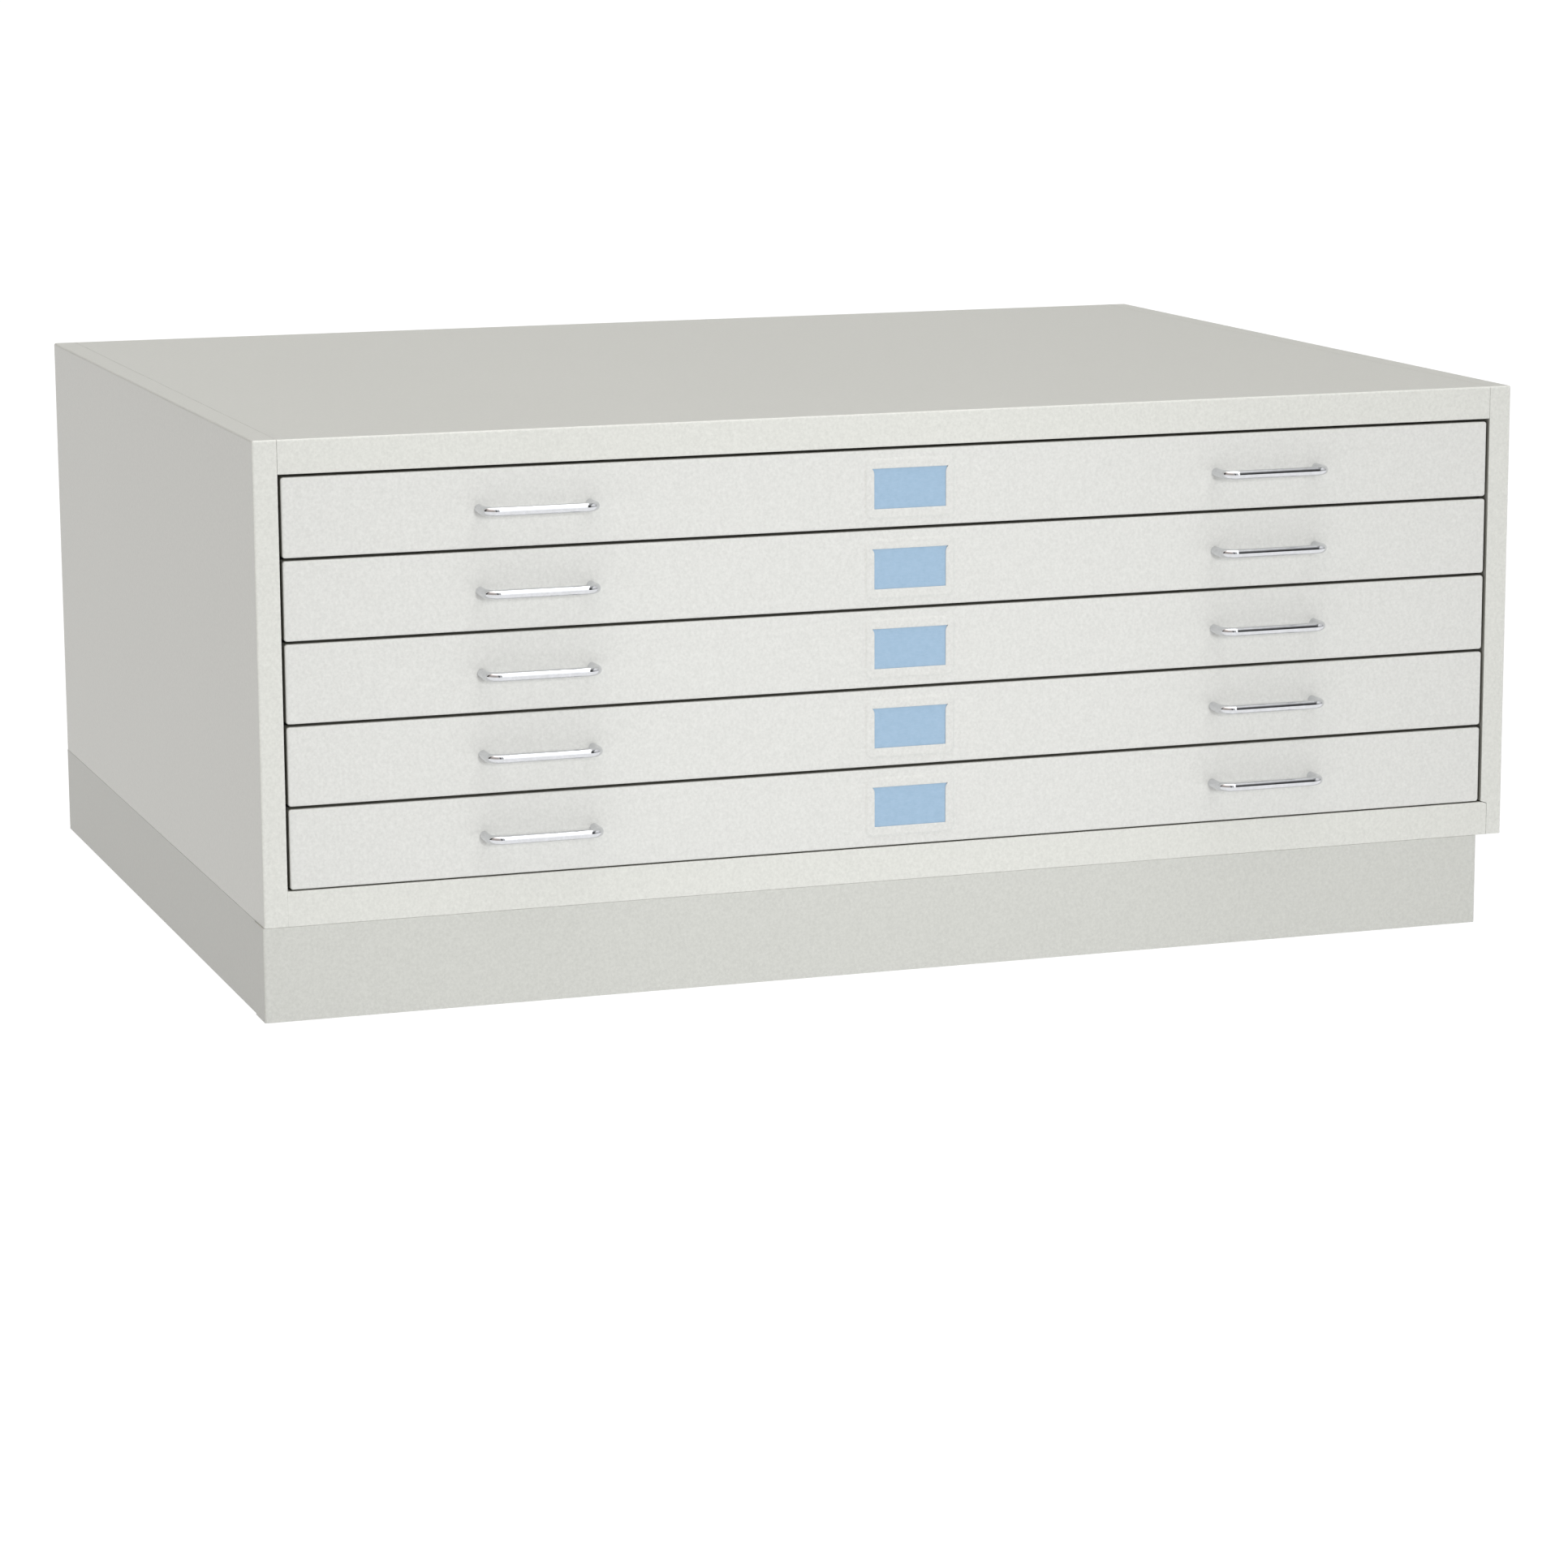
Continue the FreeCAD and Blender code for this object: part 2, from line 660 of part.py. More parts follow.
def rear_hood(level):
    """The cover over the back of the tray, with a lip up in front and a flange behind."""
    low = level + TRAY_TOP
    front = TRAY_REAR - HOOD_DEPTH
    half = TRAY_HALF
    plate = box((-half, half), (front, TRAY_REAR + TRAY_SHEET), (low, low + TRAY_SHEET))
    lip = box((-half, half), (front, front + TRAY_SHEET), (low, low + HOOD_LIP))
    flange = box((-half, half), (TRAY_REAR, TRAY_REAR + TRAY_SHEET), (low - 2 * HOOD_LIP, low))
    return fuse(plate, lip, flange)


def flap(level):
    """The hinged flap that lies on the tray's floor and holds the sheets' front edge down."""
    low = level + FLAP_BOTTOM
    height = level + HINGE_UP
    half = HINGE_HALF_WIDTH - HINGE_TAB - HINGE_GAP
    tip = HINGE_Y + FLAP_LENGTH
    plate = box((-half, half), (HINGE_Y, tip), (low, low + FLAP_SHEET))
    lip = box((-half, half), (tip - FLAP_SHEET, tip), (low, low + FLAP_LIP))
    leaf = fuse(plate, lip, rod(BARREL_R, (-half, half), HINGE_Y, height))
    middle = HINGE_TAB / 2 + HINGE_GAP
    clear = BARREL_R + HINGE_GAP
    notch = box((-middle, middle), (HINGE_Y - clear, HINGE_Y + clear), (low - 1, height + clear))
    return leaf.cut(notch).cut(rod(BARREL_BORE_R, (-half - 1, half + 1), HINGE_Y, height))


def drawer_hardware(level):
    """The flap's hinge pin, the rear roller studs and the handles' screws."""
    pieces = [rod(HINGE_PIN_R, (-HINGE_HALF_WIDTH, HINGE_HALF_WIDTH), HINGE_Y, level + HINGE_UP)]
    inner, outer = rear_roller_range()
    shoulder = (RUNNER_FACE, inner - SIDE_PLAY)
    journal = (inner - SIDE_PLAY, outer + SIDE_PLAY)
    head = (outer + SIDE_PLAY, outer + SIDE_PLAY + STUD_HEAD)
    rear_stud = stud(shoulder, journal, head, REAR_ROLLER_Y, level + ROLLER_AXIS)
    pieces += [rear_stud, mirrored(rear_stud)]
    inner_face = FACE + FRONT_SHEET
    for x, z in handle_post_places(level):
        head = Part.makeCylinder(SCREW_HEAD_R, SCREW_HEAD, point(x, inner_face, z), Y)
        length = SCREW_DEPTH + FRONT_SHEET
        shank = Part.makeCylinder(SCREW_R, length, point(x, inner_face - length, z), Y)
        pieces.append(fuse(head, shank))
    return group(pieces)


# ---------------------------------------------------------------------- pieces

def cabinet_pieces():
    return {
        "left_side_panel": left_side_panel(),
        "right_side_panel": right_side_panel(),
        "top_panel": top_panel(),
        "back_panel": back_panel(),
        "bottom_panel": bottom_panel(),
        "bottom_rail": bottom_rail(),
        "left_drawer_channels": drawer_channels(True),
        "right_drawer_channels": drawer_channels(False),
        "front_roller_studs": front_roller_studs(),
        "base_front": base_front(),
        "base_left_side": base_side(BASE_LEFT, 1),
        "base_right_side": base_side(BASE_RIGHT, -1),
        "base_back": base_back(),
        "base_cross_rails": base_cross_rails(),
        "base_bolts": base_bolts(),
    }


def drawer_pieces(index):
    level = drawer_level(index)
    name = "drawer_%d_" % (index + 1)
    return {
        name + "front": drawer_front(level),
        name + "tray": tray(level),
        name + "rear_hood": rear_hood(level),
        name + "flap": flap(level),
        name + "handles": handles(level),
        name + "label_card": label_card(level),
        name + "hardware": drawer_hardware(level),
        name + "rear_rollers": rear_rollers(level),
        name + "front_rollers": front_rollers(level),
    }


def main():
    os.makedirs("parts", exist_ok=True)
    pieces = cabinet_pieces()
    for index in range(DRAWERS):
        pieces.update(drawer_pieces(index))
    for name, shape in pieces.items():
        if not shape.isValid():
            raise RuntimeError("the shape of %s is not valid" % name)
        shape.exportStep("parts/%s.step" % name)
        sizes = shape.BoundBox
        print("%-24s %2d solids  %8.1f x %7.1f x %6.1f  %10.0f mm3" % (
            name, len(shape.Solids), sizes.XLength, sizes.YLength, sizes.ZLength, shape.Volume))
    print("%d pieces" % len(pieces))


main()
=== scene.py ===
"""The flat file cabinet's looks: finer drawer fronts, pulls, cards and rollers, and every finish.

Lengths are metres in the part's own frame: X to the right, the drawers pull out along -Y, Z up.
"""

import json
import math

import bmesh
import bpy
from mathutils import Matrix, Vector


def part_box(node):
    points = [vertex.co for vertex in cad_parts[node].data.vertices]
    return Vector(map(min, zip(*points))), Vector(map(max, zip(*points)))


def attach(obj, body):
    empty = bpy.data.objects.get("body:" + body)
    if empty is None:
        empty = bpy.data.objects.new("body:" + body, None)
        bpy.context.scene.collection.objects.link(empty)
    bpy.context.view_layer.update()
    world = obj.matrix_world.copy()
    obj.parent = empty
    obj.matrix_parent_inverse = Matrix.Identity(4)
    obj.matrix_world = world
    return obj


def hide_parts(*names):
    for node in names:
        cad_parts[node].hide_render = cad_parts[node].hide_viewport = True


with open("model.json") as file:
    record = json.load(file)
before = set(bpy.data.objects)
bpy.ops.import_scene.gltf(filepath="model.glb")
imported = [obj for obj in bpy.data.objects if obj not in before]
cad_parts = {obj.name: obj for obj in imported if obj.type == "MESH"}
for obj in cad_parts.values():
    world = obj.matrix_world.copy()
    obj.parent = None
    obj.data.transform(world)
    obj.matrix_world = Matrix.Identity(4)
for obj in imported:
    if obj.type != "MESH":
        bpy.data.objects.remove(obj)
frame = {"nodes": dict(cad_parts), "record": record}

MM = 0.001
DRAWERS = range(1, 6)

# Drawer fronts. The lowest one reaches a little further down than its CAD front.
FRONT_SHEET = 1.2 * MM
FRONT_CORNER = 2.6 * MM
FRONT_BEND = 2.0 * MM
FRONT_BEND_STEPS = 6
LOWEST_DROP = 1.2 * MM

# Label holders: the raised border, its window with flared top corners, and the card's pocket behind it.
HOLDER_WIDTH = 83.0 * MM
HOLDER_HEIGHT = 52.5 * MM
HOLDER_RADIUS = 6.5 * MM
HOLDER_RAISE = 1.1 * MM
HOLDER_SLOPE = 3.0 * MM
HOLDER_SLOPE_STEPS = 10
WINDOW_WIDTH = 67.2 * MM
WINDOW_HEIGHT = 35.7 * MM
WINDOW_RADIUS = 0.5 * MM
EAR_WIDTH = 3.2 * MM
EAR_HEIGHT = 5.0 * MM
LIP_WIDTH = 1.8 * MM
LIP_DEPTH = 0.6 * MM
LIP_STEPS = 6
POCKET_MARGIN = 4.0 * MM
POCKET_BACK = 0.35 * MM
POCKET_FRONT = 0.45 * MM

# Label cards.
CARD_SHEET = 0.3 * MM
CARD_BOW = 0.08 * MM
CARD_COLUMNS = 28
CARD_ROWS = 16

# Wire pulls.
WIRE_RADIUS = 4.0 * MM
WIRE_BEND = 11.0 * MM
WIRE_BEND_STEPS = 14
WIRE_SIDES = 40
TAPPED_RADIUS = 2.5 * MM
TAPPED_DEPTH = 11.0 * MM

# Rollers.
ROLLER_WIDTH = 9.0 * MM
ROLLER_BORE = 4.0 * MM
ROLLER_SIDES = 64
TYRE_THICKNESS = 2.6 * MM
HUB_THICKNESS = 2.0 * MM

# Steps round a corner of an outline, and along each of its sides.
CORNER_STEPS = 8
SIDE_STEPS = 24

# Edges that turn by more than this many degrees stay sharp.
SHARP_TURN = 50
SHARP_ROLLER_TURN = 65

# Powder coats: their tones and specks as shares of the paint's colour, and how far gloss varies.
COAT_TONES = (0.985, 1.012)
COAT_SPECKS = (0.87, 1.09)
COAT_SPECK_SHARE = 0.65
COAT_SMOOTHER = 0.05
COAT_ROUGHER = 0.06
COAT_PEEL = 0.12 * MM
COAT_IOR = 1.5
COAT_SPECULAR = 0.42

# Painted shade deep in a narrow gap: how far a gap reaches, the shade's tint, and the openness it fades
# between.
CREASE_REACH = 12.0 * MM
GAP_SHADE_TINT = (0.34, 0.33, 0.26)
CREASE_OPENNESS = (0.03, 0.34)
CREASE_SAMPLES = 4

# Colours of the other finishes.
CHROME_DARK = (0.66, 0.67, 0.69, 1.0)
CHROME_LIGHT = (0.73, 0.74, 0.77, 1.0)
ZINC_STAINED = (0.50, 0.51, 0.52, 1.0)
ZINC_CLEAN = (0.64, 0.65, 0.66, 1.0)
ZINC_SPANGLE = (0.68, 0.69, 0.72, 1.0)
NYLON_DARK = (0.72, 0.71, 0.66, 1.0)
NYLON_LIGHT = (0.82, 0.81, 0.77, 1.0)
DYE_DARK = (0.253, 0.372, 0.498, 1.0)
DYE_LIGHT = (0.290, 0.414, 0.544, 1.0)
CARD_FIBRE = (0.352, 0.465, 0.584, 1.0)
WHITE = (1.0, 1.0, 1.0, 1.0)

# The light tent. Its parts lie between limits on a direction's x, from -1 on the left to 1 on the
# right, on its z, from 0 when level to 1 overhead, or on how far ahead of the cabinet it points.
DIM_LIGHT = 0.03
WALL_LIGHT = 0.46
WALL_END = (0.10, 0.14)
WALL_FOOT = (-0.05, 0.0)
WALL_TOP = (0.72, 0.90)
WALL_AHEAD = (0.0, 0.2)
SLIT_LEFT = (-0.25, -0.21)
SLIT_RIGHT = (-0.12, -0.08)
STRIP_LIGHT = 1.4
STRIP_LEFT = (0.12, 0.18)
STRIP_RIGHT = (0.34, 0.38)
STRIP_TOP = (0.80, 0.95)
STRIP_AHEAD = (0.0, 0.35)
TOP_LIGHT = 5.0
TOP_FOCUS = 8.0
RIGHT_LIGHT = 0.9
RIGHT_WAY = (0.80, -0.25, 0.545)
RIGHT_FOCUS = 6.0
BACK_LIGHT = 0.06
BACK_LIMITS = (0.3, 0.7)
FLAG_SHADE = 0.75
FLAG_LEFT = (0.35, 0.44)
FLAG_RIGHT = (0.62, 0.70)
WARM_LEFT = (1.0, 0.90, 0.84, 1.0)
WARM_LIMITS = (-0.5, -0.1)

# The backdrop that the camera sees, and the floor.
BACKDROP_GLOW = 0.99
FLOOR_GLOW = 0.97
FLOOR_GREY = (0.08, 0.08, 0.08, 1.0)
FLOOR_RADIUS = 40
FLOOR_SIDES = 96

# The soft box: its beam is in degrees.
SOFT_BOX_PLACE = (-0.10, -8.4, 1.85)
SOFT_BOX_TARGET = (-0.10, -0.435, 0.29)
SOFT_BOX_SIZE = 1.4
SOFT_BOX_WATTS = 5.0
SOFT_BOX_BEAM = 20.0

# The camera: its turn is in degrees, its lens and sensor in millimetres.
CAMERA_PLACE = (-1.45789, -4.31129, 0.96948)
CAMERA_TURN = (79.06988, 0.26510, -19.11119)
CAMERA_LENS = 108.67
CAMERA_SENSOR = 36.0

# Numbers of the Mix node's colour sockets, which share their names with its other sockets.
MIX_FIRST = 6
MIX_SECOND = 7
MIX_RESULT = 2


# ------------------------------------------------------------------ shader nodes

def node(tree, kind, values=(), **settings):
    """Adds a shader node; values are pairs of an input and a number, a colour or a socket."""
    made = tree.nodes.new(kind)
    for name, value in settings.items():
        setattr(made, name, value)
    for key, value in values:
        if isinstance(value, bpy.types.NodeSocket):
            tree.links.new(value, made.inputs[key])
        else:
            made.inputs[key].default_value = value
    return made


def new_material(name):
    """A material with a Principled shader, and the place on the piece that its patterns follow."""
    material = bpy.data.materials.new(name)
    material.use_nodes = True
    tree = material.node_tree
    tree.nodes.clear()
    shader = node(tree, "ShaderNodeBsdfPrincipled")
    node(tree, "ShaderNodeOutputMaterial", [("Surface", shader.outputs["BSDF"])])
    place = node(tree, "ShaderNodeTexCoord").outputs["Object"]
    return material, tree, shader, place


def noise(tree, place, scale, detail, roughness=0.55):
    values = [("Vector", place), ("Scale", scale), ("Detail", detail), ("Roughness", roughness)]
    return node(tree, "ShaderNodeTexNoise", values).outputs["Fac"]


def stretched(tree, place, scale):
    """The place with a scale for each axis, for patterns that run one way."""
    return node(tree, "ShaderNodeMapping", [("Vector", place), ("Scale", scale)]).outputs["Vector"]


def ranged(tree, value, low, high, start=0.3, end=0.7, **settings):
    """Runs from low to high while a value runs from start to end, where most of a noise lies."""
    values = [("Value", value), ("From Min", start), ("From Max", end), ("To Min", low), ("To Max", high)]
    return node(tree, "ShaderNodeMapRange", values, **settings).outputs["Result"]


def mixed(tree, share, first, second):
    values = [("Factor", share), (MIX_FIRST, first), (MIX_SECOND, second)]
    return node(tree, "ShaderNodeMix", values, data_type="RGBA").outputs[MIX_RESULT]


def mottled(tree, pattern, first, second):
    """A colour that wanders between two as a noise does."""
    return mixed(tree, ranged(tree, pattern, 0.0, 1.0), first, second)


def scaled(colour, factor):
    return tuple(min(channel * factor, 1.0) for channel in colour) + (1.0,)


def bump(tree, height, distance, strength, normal=None):
    values = [("Height", height), ("Distance", distance), ("Strength", strength)]
    if normal is not None:
        values.append(("Normal", normal))
    return node(tree, "ShaderNodeBump", values).outputs["Normal"]


def connect(tree, shader, **links):
    """Links sockets to a shader's inputs, such as base_color to Base Color."""
    for name, socket in links.items():
        tree.links.new(socket, shader.inputs[name.replace("_", " ").title()])


# ------------------------------------------------------------------ finishes

def painted_gap_shade(tree, colour, shade):
    """Shades paint deep inside a narrow gap, where hardly any light gets in."""
    values = [("Distance", CREASE_REACH)]
    openness = node(tree, "ShaderNodeAmbientOcclusion", values, samples=CREASE_SAMPLES).outputs["AO"]
    # the paint's colour in the painted shade deep in a gap
    deep = tuple(channel * tint for channel, tint in zip(colour, GAP_SHADE_TINT)) + (1.0,)
    return mixed(tree, ranged(tree, openness, 0.0, 1.0, *CREASE_OPENNESS), deep, shade)


def powder_coat(name, colour, roughness, paints_gap_shade=True):
    """Baked powder paint: fine orange peel, a slight speckle, faint random changes of tone, and painted
    shade deep in narrow gaps.
    """
    material, tree, shader, place = new_material(name)
    broad = noise(tree, place, scale=3.1, detail=2.0)
    speckle = noise(tree, place, scale=380.0, detail=2.5, roughness=0.75)
    toned = mottled(tree, broad, *[scaled(colour, factor) for factor in COAT_TONES])
    grain = mottled(tree, speckle, *[scaled(colour, factor) for factor in COAT_SPECKS])
    shade = mixed(tree, COAT_SPECK_SHARE, toned, grain)
    # painted shade deep in narrow gaps, left off where the coat takes none
    if paints_gap_shade:
        shade = painted_gap_shade(tree, colour, shade)
    peel = noise(tree, place, scale=700.0, detail=1.5, roughness=0.4)
    sag = noise(tree, place, scale=55.0, detail=2.0, roughness=0.5)
    sagged = bump(tree, sag, distance=COAT_PEEL, strength=0.25)
    coat = bump(tree, peel, distance=COAT_PEEL, strength=0.4, normal=sagged)
    dull = ranged(tree, speckle, roughness - COAT_SMOOTHER, roughness + COAT_ROUGHER)
    connect(tree, shader, base_color=shade, normal=coat, roughness=dull)
    shader.inputs["IOR"].default_value = COAT_IOR
    shader.inputs["Specular IOR Level"].default_value = COAT_SPECULAR
    return material


def chrome(name):
    """Polished plate over drawn wire: almost a mirror, with faint haze and the wire's own ripple."""
    material, tree, shader, place = new_material(name)
    haze = noise(tree, place, scale=260.0, detail=3.0, roughness=0.6)
    ripple = noise(tree, place, scale=120.0, detail=1.0, roughness=0.4)
    tint = mottled(tree, haze, CHROME_DARK, CHROME_LIGHT)
    waves = bump(tree, ripple, distance=0.01 * MM, strength=0.08)
    dull = ranged(tree, haze, low=0.03, high=0.07)
    connect(tree, shader, base_color=tint, normal=waves, roughness=dull)
    shader.inputs["Metallic"].default_value = 1.0
    return material


def zinc(name):
    """Zinc-plated steel: cool spangle, rolling marks and a dull sheen."""
    material, tree, shader, place = new_material(name)
    values = [("Vector", place), ("Scale", 420.0), ("Randomness", 1.0)]
    spangle = node(tree, "ShaderNodeTexVoronoi", values, feature="F1").outputs["Distance"]
    stain = noise(tree, place, scale=38.0, detail=4.0, roughness=0.6)
    drawn = stretched(tree, place, (260.0, 14.0, 260.0))
    marks = noise(tree, drawn, scale=1.0, detail=3.0, roughness=0.6)
    stained = mottled(tree, stain, ZINC_STAINED, ZINC_CLEAN)
    plate = mixed(tree, ranged(tree, spangle, 0.0, 0.5, start=0.0, end=0.9), stained, ZINC_SPANGLE)
    rolled = bump(tree, marks, distance=0.04 * MM, strength=0.3)
    dull = ranged(tree, stain, low=0.30, high=0.46)
    connect(tree, shader, base_color=plate, normal=rolled, roughness=dull)
    shader.inputs["Metallic"].default_value = 1.0
    return material


def nylon(name):
    """Moulded nylon: off-white, slightly waxy, with a matte running surface."""
    material, tree, shader, place = new_material(name)
    cloud = noise(tree, place, scale=90.0, detail=3.0, roughness=0.6)
    grain = noise(tree, place, scale=1400.0, detail=2.0, roughness=0.5)
    tint = mottled(tree, cloud, NYLON_DARK, NYLON_LIGHT)
    matte = bump(tree, grain, distance=0.03 * MM, strength=0.4)
    dull = ranged(tree, cloud, low=0.38, high=0.52)
    connect(tree, shader, base_color=tint, normal=matte, roughness=dull)
    shader.inputs["Subsurface Weight"].default_value = 0.12
    shader.inputs["Subsurface Scale"].default_value = 2.0 * MM
    return material


def card_stock(name):
    """Blue index card: short fibres, mottled dye and a dead matte surface."""
    material, tree, shader, place = new_material(name)
    laid = stretched(tree, place, (240.0, 240.0, 900.0))
    fibre = noise(tree, laid, scale=1.0, detail=4.0, roughness=0.65)
    mottle = noise(tree, place, scale=170.0, detail=3.0, roughness=0.6)
    dye = mottled(tree, mottle, DYE_DARK, DYE_LIGHT)
    paper = mixed(tree, ranged(tree, fibre, low=0.0, high=0.35), dye, CARD_FIBRE)
    felt = bump(tree, fibre, distance=0.05 * MM, strength=0.5)
    dull = ranged(tree, mottle, low=0.80, high=0.92)
    connect(tree, shader, base_color=paper, normal=felt, roughness=dull)
    shader.inputs["Specular IOR Level"].default_value = 0.25
    return material


FINISHES = {
    "cabinet_paint": powder_coat("cabinet_powder_coat", (0.578, 0.586, 0.555), roughness=0.40),
    "drawer_paint": powder_coat("drawer_powder_coat", (0.581, 0.588, 0.569), roughness=0.40),
    "tray_paint": powder_coat("tray_powder_coat", (0.560, 0.567, 0.540), roughness=0.44),
    # The base's coat is darker than the cabinet's as painted shade for the low-set base, and it takes no
    # painted gap shade.
    "base_paint": powder_coat("base_powder_coat_painted_shade", (0.495, 0.503, 0.475), roughness=0.46, paints_gap_shade=False),
    "chrome": chrome("bright_chrome"),
    "zinc_steel": zinc("zinc_plate"),
    "roller": nylon("moulded_nylon"),
    "card": card_stock("blue_card"),
}


# ------------------------------------------------------------------ mesh building

def loft(bm, loops, ring_closed=False):
    """Joins loops of equal counts of points by quads, and caps both ends unless they run in a ring."""
    rings = [[bm.verts.new(co) for co in loop] for loop in loops]
    pairs = list(zip(rings, rings[1:]))
    if ring_closed:
        pairs.append((rings[-1], rings[0]))
    for first, second in pairs:
        for index in range(len(first)):
            after = (index + 1) % len(first)
            bm.faces.new((first[index], first[after], second[after], second[index]))
    if not ring_closed:
        bm.faces.new(rings[0][::-1])
        bm.faces.new(rings[-1])


def finished_mesh(bm, name, sharp_turn=SHARP_TURN):
    """A smooth-shaded mesh that stays sharp at its real edges."""
    bmesh.ops.recalc_face_normals(bm, faces=bm.faces)
    mesh = bpy.data.meshes.new(name)
    bm.to_mesh(mesh)
    bm.free()
    mesh.shade_smooth()
    mesh.set_sharp_from_angle(angle=math.radians(sharp_turn))
    return mesh


def piece(name, mesh, body, cad_node, slot):
    """Shows a mesh in place of a CAD node, on the node's body and with its slot's finish."""
    mesh.materials.append(FINISHES[slot])
    made = bpy.data.objects.new(name, mesh)
    bpy.context.scene.collection.objects.link(made)
    weighted = made.modifiers.new("even_shading", "WEIGHTED_NORMAL")
    weighted.keep_sharp = True
    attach(made, body)
    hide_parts(cad_node)
    return made


def quarter_turns(steps):
    """Angles from 0 to a right angle."""
    return [math.pi / 2 * step / steps for step in range(steps + 1)]


def full_turns(steps):
    """Angles once round a circle."""
    return [2 * math.pi * step / steps for step in range(steps)]


def share_between(value, start, end):
    """How far a value lies between two others, from 0 to 1."""
    return min(max((value - start) / (end - start), 0.0), 1.0)


def outline(half_width, half_height, radius, eared=False):
    """Points (x, z) round a rectangle with round corners, which may flare at its top corners."""
    arcs = []
    for quarter, (side_x, side_z) in enumerate(((1, 1), (-1, 1), (-1, -1), (1, -1))):
        x = side_x * (half_width - radius)
        z = side_z * (half_height - radius)
        turns = [(quarter + step / CORNER_STEPS) * math.pi / 2 for step in range(CORNER_STEPS + 1)]
        arcs.append([(x + radius * math.cos(turn), z + radius * math.sin(turn)) for turn in turns])
    points = []
    for arc, following in zip(arcs, arcs[1:] + arcs[:1]):
        points += arc
        points += between(arc[-1], following[0])
    if not eared:
        return points
    return [flared(x, z, half_width, half_height) for x, z in points]


def between(start, end):
    """Points along a side, closer together towards its ends."""
    points = []
    for step in range(1, SIDE_STEPS):
        share = (1 - math.cos(math.pi * step / SIDE_STEPS)) / 2
        points.append(tuple(a + (b - a) * share for a, b in zip(start, end)))
    return points


def flared(x, z, half_width, half_height):
    """Moves a point outwards on a hollow curve where it lies near a top corner."""
    rise = share_between(z, half_height - EAR_HEIGHT, half_height)
    sideways = share_between(abs(x), half_width - EAR_WIDTH, half_width)
    reach = EAR_WIDTH * (1 - math.sqrt(1 - rise * rise)) * sideways
    return x + math.copysign(reach, x), z


def placed(points, y, centre_z):
    """Stands an outline up at a depth and a height."""
    return [(x, y, z + centre_z) for x, z in points]


def circle(centre, across, radius):
    """Points round a circle in the plane of Z and one horizontal direction."""
    points = []
    for turn in full_turns(WIRE_SIDES):
        points.append(centre + radius * (across * math.cos(turn) + Vector((0, 0, math.sin(turn)))))
    return points


# ------------------------------------------------------------------ drawer fronts

def window_loops(face, middle):
    """Loops from the pocket's back, round its inside and out over the window's rounded lip."""
    half_width = WINDOW_WIDTH / 2
    half_height = WINDOW_HEIGHT / 2
    pocket = outline(half_width + POCKET_MARGIN, half_height + POCKET_MARGIN, WINDOW_RADIUS)
    edge = outline(half_width, half_height, WINDOW_RADIUS, eared=True)
    loops = [
        placed(pocket, face + POCKET_BACK, middle),
        placed(pocket, face - POCKET_FRONT, middle),
        placed(edge, face - POCKET_FRONT, middle),
    ]
    for turn in quarter_turns(LIP_STEPS):
        grow = LIP_WIDTH * (1 - math.cos(turn))
        depth = HOLDER_RAISE - LIP_DEPTH * (1 - math.sin(turn))
        lip = outline(half_width + grow, half_height + grow, WINDOW_RADIUS + grow, eared=True)
        loops.append(placed(lip, face - depth, middle))
    return loops


def slope_loops(face, middle):
    """Loops down the holder's soft outer slope, from its raised border to the drawer's face."""
    loops = []
    for step in range(HOLDER_SLOPE_STEPS + 1):
        share = step / HOLDER_SLOPE_STEPS
        inset = HOLDER_SLOPE * (1 - share)
        fall = share * share * (3 - 2 * share)
        border = outline(
            HOLDER_WIDTH / 2 + HOLDER_SLOPE / 2 - inset,
            HOLDER_HEIGHT / 2 + HOLDER_SLOPE / 2 - inset,
            HOLDER_RADIUS + HOLDER_SLOPE / 2 - inset)
        loops.append(placed(border, face - HOLDER_RAISE * (1 - fall), middle))
    return loops


def pan_loops(face, back, half_width, half_height, middle):
    """Loops from the drawer's flat face round its bent edges, back, and inside the sheet again."""
    loops = []
    for turn in quarter_turns(FRONT_BEND_STEPS):
        inset = FRONT_BEND * (1 - math.sin(turn))
        depth = FRONT_BEND * (1 - math.cos(turn))
        edge = outline(half_width - inset, half_height - inset, FRONT_CORNER - inset)
        loops.append(placed(edge, face + depth, middle))
    outer = outline(half_width, half_height, FRONT_CORNER)
    inner = outline(half_width - FRONT_SHEET, half_height - FRONT_SHEET, FRONT_CORNER - FRONT_SHEET)
    loops.append(placed(outer, back, middle))
    loops.append(placed(inner, back, middle))
    loops.append(placed(inner, face + FRONT_SHEET, middle))
    return loops


def drawer_front(number):
    """A folded drawer face with its label holder pressed in."""
    cad_node = f"drawer_{number}_front"
    low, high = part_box(cad_node)
    middle = (low.z + high.z) / 2
    face = low.y + HOLDER_RAISE
    foot = low.z - (LOWEST_DROP if number == DRAWERS[0] else 0.0)
    loops = window_loops(face, middle) + slope_loops(face, middle)
    loops += pan_loops(face, high.y, high.x, (high.z - foot) / 2, (high.z + foot) / 2)
    bm = bmesh.new()
    loft(bm, loops)
    mesh = finished_mesh(bm, cad_node)
    piece(f"drawer_{number}_face", mesh, f"drawer_{number}", cad_node, "drawer_paint")


# ------------------------------------------------------------------ pulls

def wire_rings(left, right, seat, bar, height):
    """Circles along a pull, from one post's seat over the bends and the bar to the other's."""
    half = [(left, seat, 0.0)]
    for turn in quarter_turns(WIRE_BEND_STEPS):
        x = left + WIRE_BEND * (1 - math.cos(turn))
        y = bar + WIRE_BEND * (1 - math.sin(turn))
        half.append((x, y, turn))
    other = [(left + right - x, y, math.pi - turn) for x, y, turn in reversed(half)]
    rings = []
    for x, y, turn in half + other:
        across = Vector((math.cos(turn), math.sin(turn), 0))
        rings.append(circle(Vector((x, y, height)), across, WIRE_RADIUS))
    return rings


